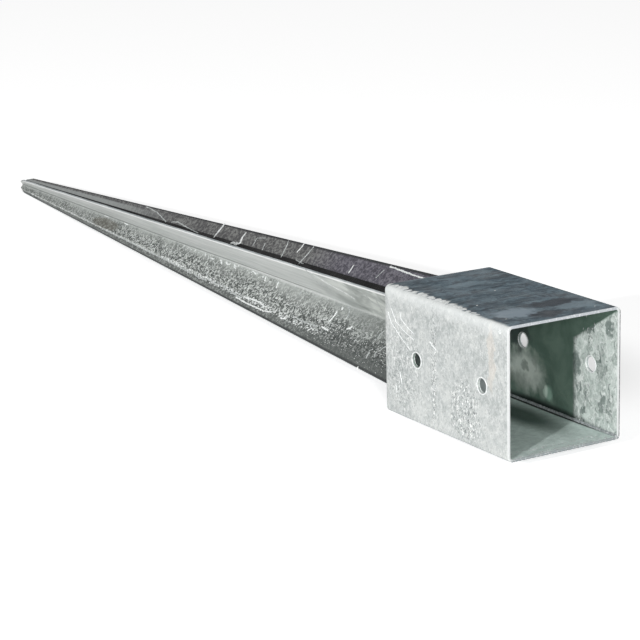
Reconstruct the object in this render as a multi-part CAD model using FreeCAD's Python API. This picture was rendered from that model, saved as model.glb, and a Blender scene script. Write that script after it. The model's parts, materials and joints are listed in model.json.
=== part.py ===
"""Drive-in post spike of galvanised sheet steel.

A square socket takes a timber post. Below it, two long folded sheets stand back to back and form four
tapered fins. The spike lies on its side, as it comes to rest on a floor. Millimetres, +Z up, +Y from the
socket's mouth towards the spike's tip. The origin is at the middle of the footprint, on the floor.
"""

import FreeCAD, Part
import math
import os

Vec = FreeCAD.Vector

# Socket for the post
socket_inside = 91.0
socket_wall = 2.0
socket_depth = 150.0
socket_bend_radius = 2.0

# Screw holes through the left and right walls, at half the socket's height
hole_diameter = 11.0
first_hole_from_mouth = 30.0
hole_spacing = 80.0

# Weld along the lower right corner, where the folded sheet closes
seam_gap = 0.8
seam_bead_leg = 2.0
seam_bead_crown = 0.3
seam_bead_stop = 8.0

# Plate that the post stands on
seat_thickness = 3.0
seat_recess = 3.0
seat_weld_leg = 2.5

# Spike: two tapered sheets, each folded along its middle to a right angle
spike_length = 750.0
spike_sheet = 2.0
fold_inside_radius = 2.0
root_reach = 49.0
shoulder_reach = 8.6
nose_reach = 5.0
nose_length = 12.0
root_weld_leg = 3.0
root_weld_end_margin = 4.0

# Short beads that join the two sheets back to back
stitch_count = 5
stitch_length = 30.0
first_stitch_from_seat = 45.0
last_stitch_from_tip = 35.0
stitch_root_height = 1.0
stitch_height = 4.5
stitch_crown = 0.8
stitch_root_width = 1.6
stitch_bite = 1.0

# Values that follow from the sizes above
DIAGONAL = math.sqrt(2.0)
half_inside = socket_inside / 2
half_outside = half_inside + socket_wall
seat_top = socket_depth - seat_recess - seat_thickness
seat_back = socket_depth - seat_recess
total_length = socket_depth + spike_length
shoulder_y = total_length - nose_length
fold_outside_radius = fold_inside_radius + spike_sheet
fold_apex = fold_outside_radius * (DIAGONAL - 1)
outer_face_offset = fold_apex / DIAGONAL
inner_face_offset = spike_sheet - outer_face_offset


def rounded_wire(corners):
    """Closed outline in the XZ plane from (x, z, radius) corners in order."""
    edges = []
    previous_end = None
    first_start = None
    for i, (x, z, radius) in enumerate(corners):
        here = Vec(x, 0, z)
        before = Vec(corners[i - 1][0], 0, corners[i - 1][1])
        after = Vec(corners[(i + 1) % len(corners)][0], 0, corners[(i + 1) % len(corners)][1])
        if radius > 0:
            back = (before - here).normalize()
            ahead = (after - here).normalize()
            half_angle = back.getAngle(ahead) / 2
            trim = radius / math.tan(half_angle)
            inward = (back + ahead).normalize()
            start = here + back * trim
            middle = here + inward * (radius / math.sin(half_angle) - radius)
            end = here + ahead * trim
            arc = Part.Arc(start, middle, end).toShape()
        else:
            start = end = here
            arc = None
        if previous_end is not None:
            edges.append(Part.makeLine(previous_end, start))
        else:
            first_start = start
        if arc is not None:
            edges.append(arc)
        previous_end = end
    edges.append(Part.makeLine(previous_end, first_start))
    return Part.Wire(edges)


def along_y(wire, start, length):
    """Solid of an XZ outline, from y = start over length."""
    face = Part.Face(wire)
    face.translate(Vec(0, start, 0))
    return face.extrude(Vec(0, length, 0))


def square_wire(half, radius):
    """Square outline with three rounded corners and a sharp one at the lower right, for the seam."""
    return rounded_wire([(half, -half, 0), (half, half, radius), (-half, half, radius), (-half, -half, radius)])


def make_socket():
    """Folded square tube, open along its lower right corner, with the screw holes."""
    outside = along_y(square_wire(half_outside, socket_bend_radius + socket_wall), 0, socket_depth)
    inside = along_y(square_wire(half_inside, socket_bend_radius), 0, socket_depth)
    tube = outside.cut(inside)
    open_corner = Part.makeBox(
        socket_wall + seam_gap,
        socket_depth,
        socket_wall,
        Vec(half_inside - seam_gap, 0, -half_outside),
    )
    tube = tube.cut(open_corner)
    for distance in (first_hole_from_mouth, first_hole_from_mouth + hole_spacing):
        drill = Part.makeCylinder(
            hole_diameter / 2, 2 * half_outside, Vec(-half_outside, distance, 0), Vec(1, 0, 0)
        )
        tube = tube.cut(drill)
    return tube


def make_seam_weld():
    """Bead that fills the open corner, rounded outside, with a root bead inside that stops above the seat."""
    c = half_inside
    gap_edge = c - seam_gap
    outer_start = Vec(c + socket_wall, 0, -c)
    outer_middle = Vec(c + socket_wall / DIAGONAL, 0, -c - socket_wall / DIAGONAL)
    outer_end = Vec(c, 0, -c - socket_wall)
    corner_fill = Part.Wire([
        Part.makeLine(Vec(c, 0, -c), outer_start),
        Part.Arc(outer_start, outer_middle, outer_end).toShape(),
        Part.makeLine(outer_end, Vec(gap_edge, 0, -c - socket_wall)),
        Part.makeLine(Vec(gap_edge, 0, -c - socket_wall), Vec(gap_edge, 0, -c)),
        Part.makeLine(Vec(gap_edge, 0, -c), Vec(c, 0, -c)),
    ])
    wall_foot = Vec(c, 0, -c + seam_bead_leg)
    floor_foot = Vec(gap_edge - seam_bead_leg, 0, -c)
    middle = (wall_foot + floor_foot) * 0.5 + Vec(-1, 0, 1).normalize() * seam_bead_crown
    root_bead = Part.Wire([
        Part.makeLine(Vec(c, 0, -c), wall_foot),
        Part.Arc(wall_foot, middle, floor_foot).toShape(),
        Part.makeLine(floor_foot, Vec(c, 0, -c)),
    ])
    root_bead = along_y(root_bead, 0, seat_top - seam_bead_stop)
    return along_y(corner_fill, 0, socket_depth).fuse(root_bead).removeSplitter()


def make_post_seat():
    """Plate that fills the socket's section near its lower end."""
    return along_y(square_wire(half_inside, socket_bend_radius), seat_top, seat_thickness)


def make_seat_weld():
    """Fillet bead round the back of the seat, between the plate and the four walls."""
    ring = along_y(square_wire(half_inside, socket_bend_radius), seat_back, seat_recess)
    square = ((-1, -1), (1, -1), (1, 1), (-1, 1), (-1, -1))
    sections = []
    for rise in (0, seat_recess):
        half = half_inside - seat_weld_leg + rise
        sections.append(Part.makePolygon([Vec(x * half, seat_back + rise, z * half) for x, z in square]))
    return ring.cut(Part.makeLoft(sections, True, True))


def make_taper(turn):
    """Block with the side outline of the spike, turned about the spike's axis by turn degrees."""
    outline = [
        (-root_reach, seat_back),
        (root_reach, seat_back),
        (shoulder_reach, shoulder_y),
        (nose_reach, total_length),
        (-nose_reach, total_length),
        (-shoulder_reach, shoulder_y),
        (-root_reach, seat_back),
    ]
    half_height = 2 * root_reach
    face = Part.Face(Part.makePolygon([Vec(u, y, -half_height) for u, y in outline]))
    block = face.extrude(Vec(0, 0, 2 * half_height))
    block.rotate(Vec(0, 0, 0), Vec(0, 1, 0), turn)
    return block


def make_spike_sheet():
    """Left sheet: folded to a right angle about the axis, with both fins cut to the taper."""
    reach = 2 * root_reach
    outer_x = (fold_apex - DIAGONAL * reach) / 2
    outer_z = (fold_apex + DIAGONAL * reach) / 2
    inner_apex = fold_apex - DIAGONAL * spike_sheet
    inner_x = (inner_apex - DIAGONAL * reach) / 2
    inner_z = (inner_apex + DIAGONAL * reach) / 2
    fold = rounded_wire([
        (outer_x, outer_z, 0),
        (fold_apex, 0, fold_outside_radius),
        (outer_x, -outer_z, 0),
        (inner_x, -inner_z, 0),
        (inner_apex, 0, fold_inside_radius),
        (inner_x, inner_z, 0),
    ])
    sheet = along_y(fold, seat_back, total_length - seat_back)
    return sheet.common(make_taper(45)).common(make_taper(-45))


def make_root_weld(sheet):
    """Fillet bead between the seat and the hollow side of the left sheet, along both fins."""
    length = root_reach - root_weld_end_margin
    section = Part.Face(Part.makePolygon([
        Vec(0, seat_back, inner_face_offset),
        Vec(0, seat_back, inner_face_offset + root_weld_leg),
        Vec(0, seat_back + root_weld_leg, inner_face_offset),
        Vec(0, seat_back, inner_face_offset),
    ]))
    upper = section.extrude(Vec(length, 0, 0))
    upper.rotate(Vec(0, 0, 0), Vec(0, 1, 0), 225)
    lower = upper.mirror(Vec(0, 0, 0), Vec(0, 0, 1))
    return upper.fuse(lower).cut(sheet).removeSplitter()


def make_stitch(middle_y, left_sheet, right_sheet):
    """Short bead in the upper groove between the backs of the two folds."""
    half_top = stitch_height - fold_apex + stitch_bite
    left_top = Vec(-half_top, 0, stitch_height)
    right_top = Vec(half_top, 0, stitch_height)
    left_root = Vec(-stitch_root_width / 2, 0, stitch_root_height)
    right_root = Vec(stitch_root_width / 2, 0, stitch_root_height)
    section = Part.Wire([
        Part.makeLine(left_root, right_root),
        Part.makeLine(right_root, right_top),
        Part.Arc(right_top, Vec(0, 0, stitch_height + stitch_crown), left_top).toShape(),
        Part.makeLine(left_top, left_root),
    ])
    bead = along_y(section, middle_y - stitch_length / 2, stitch_length)
    return bead.cut(left_sheet).cut(right_sheet)


def about_spike_axis(shape, degrees):
    """Copy of a shape, turned about the spike's axis."""
    copy = shape.copy()
    copy.rotate(Vec(0, 0, 0), Vec(0, 1, 0), degrees)
    return copy


def rest_angle():
    """Slope at which the spike lies on the socket's rear lower edge and on its tip."""
    run_and_reach = ((nose_length, shoulder_reach), (0.0, nose_reach))
    return min(
        math.atan2(half_outside - (reach + outer_face_offset) / DIAGONAL, spike_length - run)
        for run, reach in run_and_reach
    )


def lay_down(shape):
    """Turn a shape to its rest on the floor and move the origin to the middle of the footprint."""
    slope = rest_angle()
    mouth_end = -socket_depth * math.cos(slope)
    nose_top = half_outside + (nose_reach + outer_face_offset) / DIAGONAL
    tip_end = spike_length * math.cos(slope) + nose_top * math.sin(slope)
    laid = shape.copy()
    laid.translate(Vec(0, -socket_depth, half_outside))
    laid.rotate(Vec(0, 0, 0), Vec(1, 0, 0), -math.degrees(slope))
    laid.translate(Vec(0, -(mouth_end + tip_end) / 2, 0))
    return laid


def build_pieces():
    """All pieces by name, straight along +Y with the mouth at y = 0."""
    left_sheet = make_spike_sheet()
    right_sheet = about_spike_axis(left_sheet, 180)
    left_root_weld = make_root_weld(left_sheet)
    pieces = {
        "socket": make_socket(),
        "seam_weld": make_seam_weld(),
        "post_seat": make_post_seat(),
        "seat_weld": make_seat_weld(),
        "spike_sheet_left": left_sheet,
        "spike_sheet_right": right_sheet,
        "root_weld_left": left_root_weld,
        "root_weld_right": about_spike_axis(left_root_weld, 180),
    }
    first = seat_back + first_stitch_from_seat
    last = total_length - last_stitch_from_tip
    for i in range(stitch_count):
        middle_y = first + (last - first) * i / (stitch_count - 1)
        stitch = make_stitch(middle_y, left_sheet, right_sheet)
        pieces[f"stitch_weld_top_{i + 1}"] = stitch
        pieces[f"stitch_weld_bottom_{i + 1}"] = about_spike_axis(stitch, 180)
    return pieces


os.makedirs("parts", exist_ok=True)
for name, piece in build_pieces().items():
    lay_down(piece).exportStep(f"parts/{name}.step")
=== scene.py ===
"""Post spike of hot-dip galvanised sheet steel, lying on its side on a pale studio floor.

Every piece is modelled on the spike's own axes, in metres: x across, y from the socket's mouth to the tip,
z up, with the origin in the middle of the mouth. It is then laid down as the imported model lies.
"""

import json
import math
import random

import bpy
from mathutils import Matrix, Vector


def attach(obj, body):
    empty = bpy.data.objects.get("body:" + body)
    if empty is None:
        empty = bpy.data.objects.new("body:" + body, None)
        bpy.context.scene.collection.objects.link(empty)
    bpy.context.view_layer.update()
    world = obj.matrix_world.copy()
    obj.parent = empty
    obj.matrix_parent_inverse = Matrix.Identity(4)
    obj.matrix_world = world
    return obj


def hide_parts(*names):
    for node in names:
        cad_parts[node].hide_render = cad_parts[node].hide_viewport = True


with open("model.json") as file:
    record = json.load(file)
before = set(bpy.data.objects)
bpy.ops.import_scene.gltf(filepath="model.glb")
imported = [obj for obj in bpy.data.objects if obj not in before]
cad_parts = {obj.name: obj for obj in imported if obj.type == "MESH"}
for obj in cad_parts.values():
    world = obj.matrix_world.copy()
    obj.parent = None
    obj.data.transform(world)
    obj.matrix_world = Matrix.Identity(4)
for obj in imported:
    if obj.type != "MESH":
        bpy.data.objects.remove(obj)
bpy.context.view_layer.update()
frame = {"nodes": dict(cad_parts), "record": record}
MM = 0.001

# The spike's axes. The two cross bores through the socket lie on its middle line, the first one 30 mm from
# the mouth, so they give both the place of the mouth and the slope at which the spike lies.
first_bore = 30 * MM
bore_at = {m["name"]: Vector(m["pos_m"]) for m in frame["record"]["mounts"]}
along = (bore_at["rear_screw_holes"] - bore_at["front_screw_holes"]).normalized()
across = Vector((1, 0, 0))
upward = across.cross(along)
mouth = bore_at["front_screw_holes"] - along * first_bore
laid_down = Matrix((
    (across.x, along.x, upward.x, mouth.x),
    (across.y, along.y, upward.y, mouth.y),
    (across.z, along.z, upward.z, mouth.z),
    (0, 0, 0, 1),
))

# Camera. It stands in front of the mouth, to the left and above, where the photograph was taken from. The
# angles are those to the spike's own axes, and the three places are those of the mouth's middle in the view.
camera_turn = math.radians(30.8)
camera_drop = math.radians(14.445)
camera_roll = math.radians(1.418)
mouth_right_of_view = 0.16596
mouth_below_view = 0.04362
mouth_distance = 1.51440
camera_lens = 125.65
camera_sensor = 36.0

ahead = Vector((
    math.sin(camera_turn) * math.cos(camera_drop),
    math.cos(camera_turn) * math.cos(camera_drop),
    -math.sin(camera_drop),
))
level_right = ahead.cross(Vector((0, 0, 1))).normalized()
level_up = level_right.cross(ahead)
view_right = level_right * math.cos(camera_roll) - level_up * math.sin(camera_roll)
view_up = level_right * math.sin(camera_roll) + level_up * math.cos(camera_roll)
camera_place = view_up * mouth_below_view - view_right * mouth_right_of_view - ahead * mouth_distance
camera_axes = Matrix((view_right, view_up, -ahead)).transposed().to_4x4()
camera_data = bpy.data.cameras.new("camera")
camera_data.lens = camera_lens
camera_data.sensor_width = camera_sensor
camera_data.clip_start = 0.05
camera_data.clip_end = 60
camera = bpy.data.objects.new("camera", camera_data)
bpy.context.scene.collection.objects.link(camera)
camera.matrix_world = laid_down @ Matrix.Translation(camera_place) @ camera_axes
bpy.context.scene.camera = camera
bpy.context.scene.view_settings.view_transform = "Standard"


# Studio. A pale painted floor runs to the horizon under a white sky of low strength. A small hard lamp stands
# low on the left, and a wide weak one beside the camera lights the socket's inside. The paint glows to the
# camera, but less in the socket's shadow, which shows through the two right holes.
def add_node(material, kind, inputs=None, stops=None, **settings):
    """New node with its settings, its ramp's stops, and its inputs set or linked, by name or by number."""
    made = material.node_tree.nodes.new("ShaderNode" + kind)
    for name, value in settings.items():
        setattr(made, name, value)
    in_use = [socket for socket in made.inputs if socket.enabled]
    for name, value in (inputs or {}).items():
        socket = in_use[name] if isinstance(name, int) else next(s for s in in_use if s.name == name)
        if isinstance(value, bpy.types.Node):
            value = next(s for s in value.outputs if s.enabled)
        if isinstance(value, bpy.types.NodeSocket):
            material.node_tree.links.new(value, socket)
        else:
            socket.default_value = value
    if stops:
        ramp = made.color_ramp
        while len(ramp.elements) < len(stops):
            ramp.elements.new(1.0)
        for element, (at, colour) in zip(ramp.elements, stops):
            element.position = at
            element.color = linear(colour)
    return made


def linear(hex_colour):
    """Linear colour of an sRGB hex value."""
    parts = [int(hex_colour[i:i + 2], 16) / 255 for i in (1, 3, 5)]
    return [p / 12.92 if p <= 0.04045 else ((p + 0.055) / 1.055) ** 2.4 for p in parts] + [1.0]


def place_on_spike(material):
    """Place on the spike's own axes in millimetres."""
    to_spike = laid_down.inverted()
    where = add_node(material, "TexCoord")
    return add_node(material, "Mapping", {
        "Vector": where.outputs["Object"], "Scale": (1 / MM, 1 / MM, 1 / MM),
        "Rotation": to_spike.to_euler(), "Location": to_spike.translation / MM})


def soft_patch(material, place, middle, reach, feather=0.5, strength=1.0):
    """Soft round patch, by its middle and half sizes in millimetres: its strength inside and 0 outside."""
    from_middle = add_node(material, "VectorMath", {0: place, 1: middle}, operation="SUBTRACT")
    share = add_node(material, "VectorMath", {0: from_middle, 1: reach}, operation="DIVIDE")
    how_far = add_node(material, "VectorMath", {0: share}, operation="LENGTH")
    return add_node(material, "MapRange", {
        "Value": how_far, "From Min": 1 + feather / 2, "From Max": 1 - feather / 2, "To Max": strength,
    }, interpolation_type="SMOOTHSTEP")


floor_side = 40
floor_colour = "#F2F2F2"
floor_glow = 0.60
sky_on_surfaces = 0.30
lamps_aim = Vector((0, 0.2, 0))
lamp_direction = Vector((-0.823, -0.488, 0.289)).normalized()
lamp_distance = 3.2
lamp_side = 0.09
lamp_watts = 68.0
fill_aim = Vector((0, 0.1, 0))
fill_right_of_camera = 0.3
fill_distance = 2.6
fill_side = 0.5
fill_watts = 29.0
shadow_middle = (105, 190, -45)
shadow_reach = (70, 85, 60)
shadow_feather = 1.6
shadow_strength = 0.5

bpy.ops.object.select_all(action="DESELECT")
bpy.ops.mesh.primitive_plane_add(size=floor_side)
floor = bpy.context.object
floor.name = "floor"
paint = bpy.data.materials.new("floor_paint")
paint.use_nodes = True
paint.node_tree.nodes.clear()
seen = add_node(paint, "LightPath")
seen_or_mirrored = add_node(paint, "Math", {
    0: seen.outputs["Is Camera Ray"], 1: seen.outputs["Is Glossy Ray"]}, operation="MAXIMUM")
on_floor = place_on_spike(paint)
in_shadow = soft_patch(paint, on_floor, shadow_middle, shadow_reach, shadow_feather, shadow_strength)
glow = add_node(paint, "MapRange", {"Value": in_shadow, "To Min": floor_glow, "To Max": 0.0})
seen_glow = add_node(paint, "Math", {0: seen_or_mirrored, 1: glow}, operation="MULTIPLY")
matt = add_node(paint, "BsdfDiffuse", {"Color": linear(floor_colour)})
glowing = add_node(paint, "Emission", {"Color": linear("#FFFFFF"), "Strength": seen_glow})
both = add_node(paint, "AddShader", {0: matt, 1: glowing})
add_node(paint, "OutputMaterial", {"Surface": both})
floor.data.materials.append(paint)

sky = bpy.data.worlds.new("sky")
bpy.context.scene.world = sky
sky.use_nodes = True
sky.node_tree.nodes.clear()
sky_seen = add_node(sky, "LightPath")
sky_mirrored = add_node(sky, "Math", {
    0: sky_seen.outputs["Is Glossy Ray"], 1: sky_seen.outputs["Is Transmission Ray"]}, operation="MAXIMUM")
sky_bright = add_node(sky, "Math", {0: sky_seen.outputs["Is Camera Ray"], 1: sky_mirrored}, operation="MAXIMUM")
sky_strength = add_node(sky, "MapRange", {"Value": sky_bright, "To Min": sky_on_surfaces, "To Max": 1.0})
sky_colour = add_node(sky, "Background", {"Color": linear("#FFFFFF"), "Strength": sky_strength})
add_node(sky, "OutputWorld", {"Surface": sky_colour})

beside_camera = (camera_place + view_right * fill_right_of_camera - fill_aim).normalized()
for name, direction, distance, side, watts in (
    ("key_lamp", lamp_direction, lamp_distance, lamp_side, lamp_watts),
    ("fill_lamp", beside_camera, fill_distance, fill_side, fill_watts),
):
    lamp_data = bpy.data.lights.new(name, "AREA")
    lamp_data.size = side
    lamp_data.energy = watts
    lamp = bpy.data.objects.new(name, lamp_data)
    bpy.context.scene.collection.objects.link(lamp)
    to_lamp = laid_down.to_3x3() @ direction
    lamp.location = laid_down @ lamps_aim + to_lamp * distance
    lamp.rotation_mode = "QUATERNION"
    lamp.rotation_quaternion = to_lamp.to_track_quat("Z", "Y")


# Socket. One 2 mm sheet is folded three times to a square tube, 95 mm outside, which takes a 90 mm post. It
# has two pairs of 11 mm screw holes, and its cut edges are rounded by the zinc. Its coat is dark and blue on
# the upper wall, pale on the left one, and cloudy with dark strokes inside.
def select_in_mesh(kind, test):
    """In edit mode, select only the elements of the mesh that pass the test."""
    mesh = bpy.context.object.data
    bpy.ops.mesh.select_mode(type={"vertices": "VERT", "edges": "EDGE", "polygons": "FACE"}[kind])
    bpy.ops.mesh.select_all(action="DESELECT")
    bpy.ops.object.mode_set(mode="OBJECT")
    for element in getattr(mesh, kind):
        element.select = bool(test(element))
    bpy.ops.object.mode_set(mode="EDIT")


def edge_vector(edge):
    """An edge of the active mesh as a vector."""
    ends = bpy.context.object.data.vertices
    return ends[edge.vertices[1]].co - ends[edge.vertices[0]].co


def start_profile(name, corners):
    """New mesh in edit mode: an open outline drawn corner by corner."""
    bpy.ops.object.select_all(action="DESELECT")
    bpy.ops.mesh.primitive_plane_add(size=MM)
    bpy.context.object.name = name
    bpy.ops.object.mode_set(mode="EDIT")
    bpy.ops.mesh.select_mode(type="VERT")
    bpy.ops.mesh.select_all(action="SELECT")
    bpy.ops.mesh.merge(type="CENTER")
    bpy.ops.transform.translate(value=corners[0])
    for before, after in zip(corners, corners[1:]):
        bpy.ops.mesh.extrude_vertices_move(TRANSFORM_OT_translate={"value": Vector(after) - Vector(before)})
    return bpy.context.object


def apply_modifier(piece, kind, **settings):
    """Add a modifier, set it and apply it."""
    modifier = piece.modifiers.new(kind.lower(), kind)
    for setting, value in settings.items():
        setattr(modifier, setting, value)
    bpy.context.view_layer.objects.active = piece
    bpy.ops.object.modifier_apply(modifier=modifier.name)


def round_cut_edges(piece):
    """Round the cut edges of a sheet as its zinc does."""
    apply_modifier(piece, "BEVEL", width=cut_edge_round, segments=2, limit_method="ANGLE",
                   angle_limit=cut_edge_angle)


def finish_piece(piece, material, slot_name, *nodes):
    """Give a finished piece its coat, lay it down with the rest of the spike and hide the imported parts it
    replaces.
    """
    bpy.ops.object.select_all(action="DESELECT")
    bpy.context.view_layer.objects.active = piece
    piece.select_set(True)
    bpy.ops.object.shade_smooth_by_angle(angle=math.radians(40))
    piece.data.transform(laid_down @ piece.matrix_world)
    piece.matrix_world = Matrix.Identity(4)
    piece.data.materials.clear()
    piece.data.materials.append(material)
    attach(piece, "root")
    if nodes:
        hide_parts(*nodes)
    return piece


def start_coat(name):
    """New material, and the place on the spike in millimetres."""
    coat = bpy.data.materials.new(name)
    coat.use_nodes = True
    coat.node_tree.nodes.clear()
    return coat, place_on_spike(coat)


def zinc_clouds(coat, place, size, stretch=(1, 1, 1), low=0.36, high=0.64, detail=3.0, twist=0.5):
    """Cloudy freezing pattern from 0 to 1, about size millimetres wide, longer where stretch is under 1."""
    stretched = add_node(coat, "VectorMath", {0: place, 1: stretch}, operation="MULTIPLY")
    noise = add_node(coat, "TexNoise", {
        "Vector": stretched, "Scale": 1 / size, "Detail": detail, "Roughness": 0.6, "Distortion": twist})
    return add_node(coat, "MapRange", {"Value": noise, "From Min": low, "From Max": high})


def finish_coat(coat, colour, height, roughness, depth=0.3, metallic=0.2, specular=0.2):
    """Zinc shader: a rough, mostly matt metal with its grain's height as bump, depth millimetres deep."""
    bump = add_node(coat, "Bump", {"Height": height, "Strength": 0.8, "Distance": depth * MM})
    shader = add_node(coat, "BsdfPrincipled", {
        "Base Color": colour, "Metallic": metallic, "Roughness": roughness,
        "Specular IOR Level": specular, "Normal": bump})
    add_node(coat, "OutputMaterial", {"Surface": shader})
    return coat


socket_half = 47.5 * MM
socket_wall = 2.0 * MM
socket_depth = 150 * MM
socket_bend = 4.0 * MM
hole_radius = 5.5 * MM
hole_distances = (first_bore, 110 * MM)
hole_sides = 48
bend_steps = 8
cuts_across_wall = 28
cuts_along_socket = 49
cut_edge_round = 0.35 * MM
cut_edge_angle = math.radians(50)

socket = start_profile("socket_sheet", (
    (socket_half - socket_wall, 0, -socket_half),
    (-socket_half, 0, -socket_half),
    (-socket_half, 0, socket_half),
    (socket_half, 0, socket_half),
    (socket_half, 0, -socket_half + socket_wall),
))
select_in_mesh("vertices", lambda v: abs(v.co.x) > socket_half - MM and abs(v.co.z) > socket_half - MM)
bpy.ops.mesh.bevel(offset=socket_bend, segments=bend_steps, affect="VERTICES")
select_in_mesh("edges", lambda e: edge_vector(e).length > socket_half / 2)
bpy.ops.mesh.subdivide(number_cuts=cuts_across_wall)
bpy.ops.mesh.select_all(action="SELECT")
bpy.ops.mesh.extrude_edges_move(TRANSFORM_OT_translate={"value": (0, socket_depth, 0)})
select_in_mesh("edges", lambda e: abs(edge_vector(e).y) > socket_depth / 2)
bpy.ops.mesh.subdivide(number_cuts=cuts_along_socket)
bpy.ops.mesh.select_all(action="SELECT")
bpy.ops.mesh.normals_make_consistent(inside=False)
bpy.ops.object.mode_set(mode="OBJECT")
faces_out = sum(
    1 if p.normal.dot(Vector((p.center.x, 0, p.center.z))) > 0 else -1 for p in socket.data.polygons) > 0
apply_modifier(socket, "SOLIDIFY", thickness=socket_wall, offset=-1 if faces_out else 1, use_even_offset=True)
for distance in hole_distances:
    bpy.ops.mesh.primitive_cylinder_add(vertices=hole_sides, radius=hole_radius, depth=4 * socket_half,
                                        location=(0, distance, 0), rotation=(0, math.pi / 2, 0))
    drill = bpy.context.object
    apply_modifier(socket, "BOOLEAN", operation="DIFFERENCE", object=drill, solver="EXACT")
    bpy.data.objects.remove(drill)
round_cut_edges(socket)

# Its coat is hot-dip zinc, dull and cloudy. The zinc's own grain is finer than the render shows, so it is drawn
# 1.7 mm coarse. Places and sizes in the coat are in millimetres.
outer_face = socket_half / MM
inner_face = (socket_half - socket_wall) / MM
bend_middle = (socket_half - socket_bend) / MM
through_wall = 9
grain_height = 0.25
coat, place = start_coat("hot_dip_zinc_on_socket")
axis = add_node(coat, "SeparateXYZ", {0: place})
left_right, along_socket, down_up = axis.outputs

# Outside begins at the middle of the wall, 3 mm out from the square drawn through the bends' middles.
section = add_node(coat, "VectorMath", {0: place, 1: (1, 0, 1)}, operation="MULTIPLY")
section = add_node(coat, "VectorMath", {0: section}, operation="ABSOLUTE")
section = add_node(coat, "VectorMath", {0: section, 1: (bend_middle, 0, bend_middle)}, operation="SUBTRACT")
section = add_node(coat, "VectorMath", {0: section, 1: (0, 0, 0)}, operation="MAXIMUM")
from_bend = add_node(coat, "VectorMath", {0: section}, operation="LENGTH")
outside = add_node(coat, "MapRange", {"Value": from_bend, "From Min": 2.8, "From Max": 3.2})

# A place that wanders, which gives the patches ragged edges.
ragged_size = 7
ragged_reach = 16.0
ragged = add_node(coat, "TexNoise", {"Vector": place, "Scale": 1 / ragged_size, "Detail": 3.0})
ragged = add_node(coat, "VectorMath", {0: ragged.outputs["Color"], 1: (0.5, 0.5, 0.5)}, operation="SUBTRACT")
ragged = add_node(coat, "VectorMath", {0: ragged, "Scale": ragged_reach}, operation="SCALE")
ragged_place = add_node(coat, "VectorMath", {0: place, 1: ragged}, operation="ADD")
grain = zinc_clouds(coat, place, 1.7, detail=2.0, low=0.3, high=0.7)
fine_clouds = zinc_clouds(coat, place, 5, low=0.32, high=0.68)
wide_clouds = zinc_clouds(coat, place, 24)

# The left wall: pale, with a rough patch, a row of specks from top to bottom behind its middle, and a painted
# highlight along its bend to the upper wall.
left_wall_tone = add_node(coat, "Mix", {0: 0.65, 1: wide_clouds, 2: fine_clouds})
left_wall_tone = add_node(coat, "ValToRGB", {0: left_wall_tone}, stops=((0.15, "#A8ADAC"), (0.45, "#B9BDBC"), (0.8, "#C8CBC9")))
specks = zinc_clouds(coat, place, 1.5, stretch=(1, 1, 0.6), low=0.55, high=0.64, detail=1.0, twist=1.0)
dark_specks = zinc_clouds(coat, place, 1.9, stretch=(1, 1, 0.7), low=0.54, high=0.62, detail=1.0, twist=1.5)
rough_patch = soft_patch(coat, ragged_place, (-outer_face, 50, -24), (through_wall, 17, 22))
speck_row = soft_patch(coat, place, (-outer_face, 88.5, 0), (through_wall, 3.2, 44))
rear_rough = soft_patch(coat, ragged_place, (-outer_face, 128, -8), (through_wall, 19, 34), strength=0.45)
rough_here = add_node(coat, "Math", {0: rough_patch, 1: speck_row}, operation="MAXIMUM")
rough_here = add_node(coat, "Math", {0: rough_here, 1: rear_rough}, operation="MAXIMUM")
rough_here = add_node(coat, "MapRange", {"Value": rough_here, "To Min": 0.3})
shown_specks = add_node(coat, "Math", {0: specks, 1: rough_here}, operation="MULTIPLY")
shown_darks = add_node(coat, "Math", {0: dark_specks, 1: rough_here}, operation="MULTIPLY")
warm_band = soft_patch(coat, ragged_place, (-outer_face, 19, 22), (through_wall, 4, 24), strength=0.35)
round_left_bend = add_node(coat, "Math", {0: left_right, 1: down_up}, operation="ADD")
# Painted highlight: the left wall is painted lighter towards its bend to the upper wall.
bend_highlight = add_node(coat, "MapRange", {"Value": round_left_bend, "From Min": -11, "From Max": -3, "To Max": 0.6})
left_wall = left_wall_tone
for where, tone in (
    (shown_darks, "#767C7B"), (shown_specks, "#F0F1F0"), (warm_band, "#CFC4B8"), (bend_highlight, "#E2E5E4"),
):
    left_wall = add_node(coat, "Mix", {0: where, 1: left_wall, 2: linear(tone)}, data_type="RGBA")

# The upper wall: dark and blue, with patches drawn out across it and a pale lap of zinc over the left bend.
across_clouds = zinc_clouds(coat, ragged_place, 7, stretch=(0.3, 1, 1), low=0.34, high=0.66, detail=5.0)
across_streaks = zinc_clouds(coat, place, 2.2, stretch=(0.16, 1, 1), low=0.5, high=0.72, detail=2.0)
blue = add_node(coat, "ValToRGB", {0: across_clouds}, stops=(
    (0.1, "#222E36"), (0.5, "#394A54"), (0.9, "#586B75")))
pale_patch = soft_patch(coat, ragged_place, (-21, 27, outer_face), (16, 11, through_wall))
corner_patch = soft_patch(coat, ragged_place, (28, 22, outer_face), (19, 8, through_wall), strength=0.6)
rear_patch = soft_patch(coat, ragged_place, (0, 114, outer_face), (17, 6, through_wall), strength=0.5)
dark_patch = soft_patch(coat, ragged_place, (16, 35, outer_face), (19, 8, through_wall), strength=0.9)
dark_front = soft_patch(coat, ragged_place, (-4, 14, outer_face), (14, 8, through_wall), strength=0.9)
dark_here = add_node(coat, "Math", {0: dark_patch, 1: dark_front}, operation="MAXIMUM")
pale_here = add_node(coat, "Math", {0: corner_patch, 1: rear_patch}, operation="MAXIMUM")
faint_streaks = add_node(coat, "Math", {0: across_streaks, 1: 0.5}, operation="MULTIPLY")
upper_wall = blue
for where, tone in (
    (pale_here, "#7B8D96"), (pale_patch, "#818F99"), (faint_streaks, "#75888F"), (dark_here, "#0F1A24"),
):
    upper_wall = add_node(coat, "Mix", {0: where, 1: upper_wall, 2: linear(tone)}, data_type="RGBA")

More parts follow.
